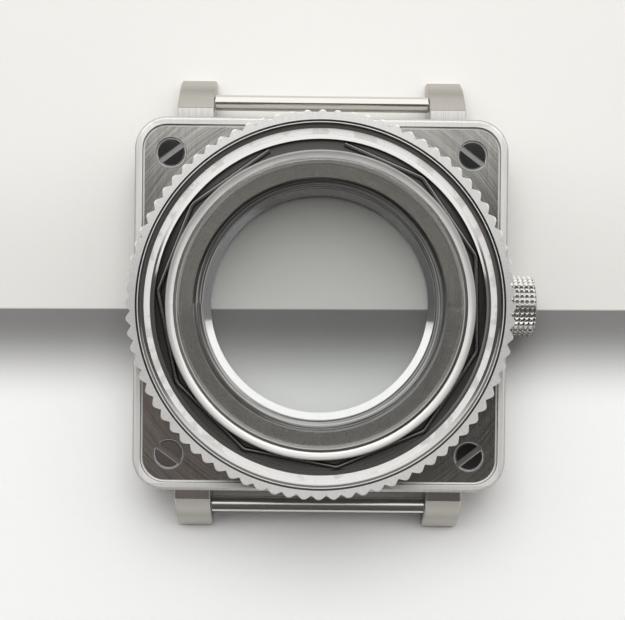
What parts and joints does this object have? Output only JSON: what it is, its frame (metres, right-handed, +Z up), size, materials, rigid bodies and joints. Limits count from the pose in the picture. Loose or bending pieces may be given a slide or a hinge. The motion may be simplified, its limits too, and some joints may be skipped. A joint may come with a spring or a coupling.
{
  "type": "watch case",
  "caption": "Square steel wrist watch case, empty, with a toothed turning bezel, knurled screw-down crown, window back, slotted corner screws and sprung strap bars between straight lugs.",
  "frame": {"origin": "on the axis of the dial opening, at the plane of the case back's outer face, which the case lies on", "axes": "+Z up through the crystal, +Y to 12 o'clock, +X to the crown at 3 o'clock"},
  "size_m": [0.0465, 0.0524, 0.0119],
  "materials": {
    "case_steel": "satin brushed outside, polished on the crystal bore, matte blasted on the cone",
    "plate_steel": "brushed",
    "screw_steel": "mirror polished",
    "bezel_steel": "fine brushed face, polished insert seat",
    "wire_steel": "drawn wire",
    "spring_steel": "bright",
    "crystal_glass": "clear flat crystal with a bevelled edge",
    "nylon": "matte",
    "back_steel": "polished",
    "window_glass": "clear",
    "gasket_rubber": "matte",
    "crown_steel": "polished knurl",
    "post_steel": "turned",
    "bar_steel": "polished"
  },
  "bodies": {
    "case": {"case_body": "case_steel", "top_plate": "plate_steel", "corner_screws": "screw_steel", "bezel_retaining_wire": "wire_steel", "bezel_click_spring": "spring_steel", "crystal": "crystal_glass", "crystal_gasket": "nylon", "crown_tube": "post_steel", "case_back_gasket": "gasket_rubber"},
    "bezel": {"bezel_ring": "bezel_steel"},
    "crown_stem": {"crown_post": "post_steel", "crown_spring": "spring_steel"},
    "crown_head": {"crown_cap": "crown_steel", "crown_gasket": "gasket_rubber"},
    "back": {"case_back": "back_steel", "back_crystal": "window_glass", "back_crystal_gasket": "nylon"},
    "upper_bar": {"upper_bar_tube": "bar_steel", "upper_bar_spring": "spring_steel"},
    "upper_left_tip": {"upper_bar_left_tip": "bar_steel"},
    "upper_right_tip": {"upper_bar_right_tip": "bar_steel"},
    "lower_bar": {"lower_bar_tube": "bar_steel", "lower_bar_spring": "spring_steel"},
    "lower_left_tip": {"lower_bar_left_tip": "bar_steel"},
    "lower_right_tip": {"lower_bar_right_tip": "bar_steel"}
  },
  "joints": [
    {"name": "bezel_turn", "type": "hinge", "parent": "case", "child": "bezel", "pos_m": [0, 0, 0], "axis": [0, 0, 1], "continuous": true},
    {"name": "crown_turn", "type": "hinge", "parent": "case", "child": "crown_stem", "pos_m": [0.021, 0, 0.0053], "axis": [1, 0, 0], "range_deg": [0, 1080]},
    {"name": "crown_lift", "type": "slide", "parent": "crown_stem", "child": "crown_head", "axis": [1, 0, 0], "range_m": [0, 0.00105], "deforming": ["crown_spring"]},
    {"name": "back_lift", "type": "slide", "parent": "case", "child": "back", "axis": [0, 0, -1], "range_m": [0, 0.012]},
    {"name": "upper_bar_spin", "type": "hinge", "parent": "case", "child": "upper_bar", "pos_m": [0, 0.02315, 0.0045], "axis": [1, 0, 0], "continuous": true},
    {"name": "upper_left_tip_press", "type": "slide", "parent": "upper_bar", "child": "upper_left_tip", "axis": [1, 0, 0], "range_m": [0, 0.00145], "stiffness_N_per_m": 1200, "deforming": ["upper_bar_spring"]},
    {"name": "upper_right_tip_press", "type": "slide", "parent": "upper_bar", "child": "upper_right_tip", "axis": [-1, 0, 0], "range_m": [0, 0.00145], "stiffness_N_per_m": 1200, "deforming": ["upper_bar_spring"]},
    {"name": "lower_bar_spin", "type": "hinge", "parent": "case", "child": "lower_bar", "pos_m": [0, -0.02315, 0.0045], "axis": [1, 0, 0], "continuous": true},
    {"name": "lower_left_tip_press", "type": "slide", "parent": "lower_bar", "child": "lower_left_tip", "axis": [1, 0, 0], "range_m": [0, 0.00145], "stiffness_N_per_m": 1200, "deforming": ["lower_bar_spring"]},
    {"name": "lower_right_tip_press", "type": "slide", "parent": "lower_bar", "child": "lower_right_tip", "axis": [-1, 0, 0], "range_m": [0, 0.00145], "stiffness_N_per_m": 1200, "deforming": ["lower_bar_spring"]}
  ],
  "couplings": [
    {"joint": "crown_turn", "follows": "crown_lift", "rad_per_m": 17952}
  ]
}
